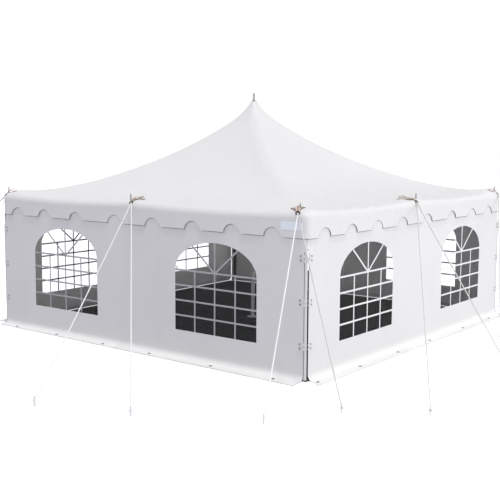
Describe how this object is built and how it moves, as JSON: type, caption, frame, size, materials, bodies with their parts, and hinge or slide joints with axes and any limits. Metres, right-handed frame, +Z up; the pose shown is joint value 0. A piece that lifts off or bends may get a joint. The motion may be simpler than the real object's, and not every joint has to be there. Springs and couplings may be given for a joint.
{
  "type": "marquee tent",
  "caption": "Square pole tent with a peaked tensile roof, scalloped valances, side walls with arched clear windows, and guy ropes to stakes.",
  "frame": {"origin": "on the ground in the middle of the tent's square plan", "axes": "+Z up, the front wall faces -Y and the right wall faces +X"},
  "size_m": [10.476, 11.8142, 3.875],
  "materials": {
    "roof_vinyl": "satin",
    "wall_vinyl": "satin",
    "clear_film": "gloss",
    "painted_steel": "satin",
    "webbing": "matt",
    "rope": "matt"
  },
  "bodies": {
    "root": {"centre_pole": "painted_steel", "corner_pole_front_right": "painted_steel", "corner_pole_back_right": "painted_steel", "corner_pole_back_left": "painted_steel", "corner_pole_front_left": "painted_steel", "side_pole_front": "painted_steel", "side_pole_right": "painted_steel", "side_pole_back": "painted_steel", "side_pole_left": "painted_steel", "roof_front": "roof_vinyl", "roof_right": "roof_vinyl", "roof_back": "roof_vinyl", "roof_left": "roof_vinyl", "valance_front": "roof_vinyl", "valance_right": "roof_vinyl", "valance_back": "roof_vinyl", "valance_left": "roof_vinyl", "wall_front": "wall_vinyl", "wall_right": "wall_vinyl", "wall_back": "wall_vinyl", "wall_left": "wall_vinyl", "window_front_left": "clear_film", "window_front_right": "clear_film", "window_right_left": "clear_film", "window_right_right": "clear_film", "window_back_left": "clear_film", "window_back_right": "clear_film", "window_left_left": "clear_film", "window_left_right": "clear_film", "eave_fitting_front": "webbing", "eave_fitting_front_right": "webbing", "eave_fitting_right": "webbing", "eave_fitting_back_right": "webbing", "eave_fitting_back": "webbing", "eave_fitting_back_left": "webbing", "eave_fitting_left": "webbing", "eave_fitting_front_left": "webbing", "guy_rope_front_1": "rope", "guy_rope_front_2": "rope", "guy_rope_front_right_1": "rope", "guy_rope_front_right_2": "rope", "guy_rope_right_1": "rope", "guy_rope_right_2": "rope", "guy_rope_back_right_1": "rope", "guy_rope_back_right_2": "rope", "guy_rope_back_1": "rope", "guy_rope_back_2": "rope", "guy_rope_back_left_1": "rope", "guy_rope_back_left_2": "rope", "guy_rope_left_1": "rope", "guy_rope_left_2": "rope", "guy_rope_front_left_1": "rope", "guy_rope_front_left_2": "rope"}
  },
  "joints": []
}
